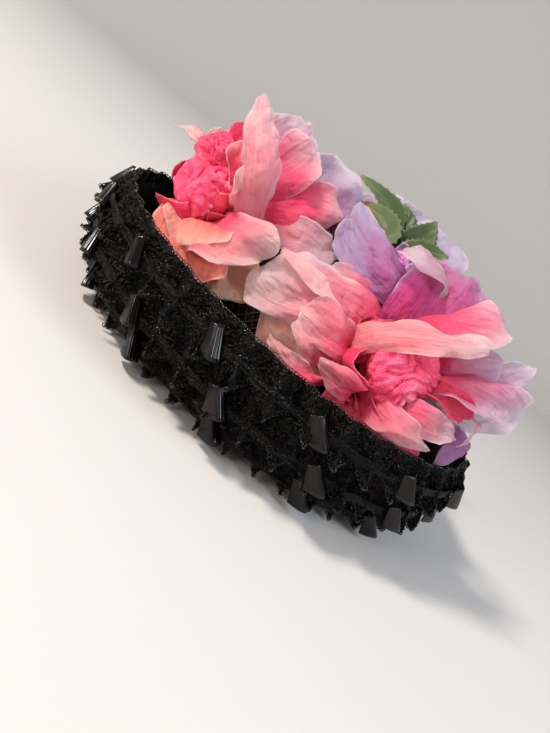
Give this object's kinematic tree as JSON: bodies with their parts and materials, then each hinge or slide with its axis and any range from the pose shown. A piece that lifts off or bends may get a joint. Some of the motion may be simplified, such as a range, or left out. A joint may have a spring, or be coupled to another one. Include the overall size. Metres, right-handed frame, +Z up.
{
  "type": "flower hat",
  "caption": "Lady's dress hat: woven straw crown, deep upturned brim covered in pleated black lace and folded ribbon, with large pink and lavender organza roses and leaves over the crown.",
  "frame": {"origin": "middle of the oval that the hat rests on, on the crown's upright centre line", "axes": "+Z up through the crown, -Y to the front of the hat, +X to the wearer's left"},
  "size_m": [0.2996, 0.3154, 0.1721],
  "materials": {
    "straw": "open woven straw, dark brown to black",
    "brim_cloth": "matte black millinery cloth",
    "black_lace": "black cord lace with a picot edge",
    "black_ribbon": "glossy black ribbed ribbon",
    "pink_organza": "sheer organza, deep pink at the foot fading to pale pink and peach",
    "pink_heart": "crumpled hot pink organza",
    "lavender_organza": "sheer organza, magenta fading to lavender",
    "lavender_heart": "crumpled magenta organza",
    "leaf_cloth": "starched green cloth with brown tips"
  },
  "bodies": {
    "root": {"crown": "straw", "brim": "brim_cloth", "lace_lower": "black_lace", "lace_middle": "black_lace", "lace_upper": "black_lace", "ribbon_lower": "black_ribbon", "ribbon_middle": "black_ribbon", "ribbon_upper": "black_ribbon", "rose_1_petals": "pink_organza", "rose_1_heart": "pink_heart", "rose_2_petals": "pink_organza", "rose_2_heart": "pink_heart", "rose_3_petals": "lavender_organza", "rose_3_heart": "lavender_heart", "rose_4_petals": "lavender_organza", "rose_4_heart": "lavender_heart", "leaf_1": "leaf_cloth", "leaf_2": "leaf_cloth", "leaf_3": "leaf_cloth", "leaf_4": "leaf_cloth", "leaf_5": "leaf_cloth"}
  },
  "joints": []
}
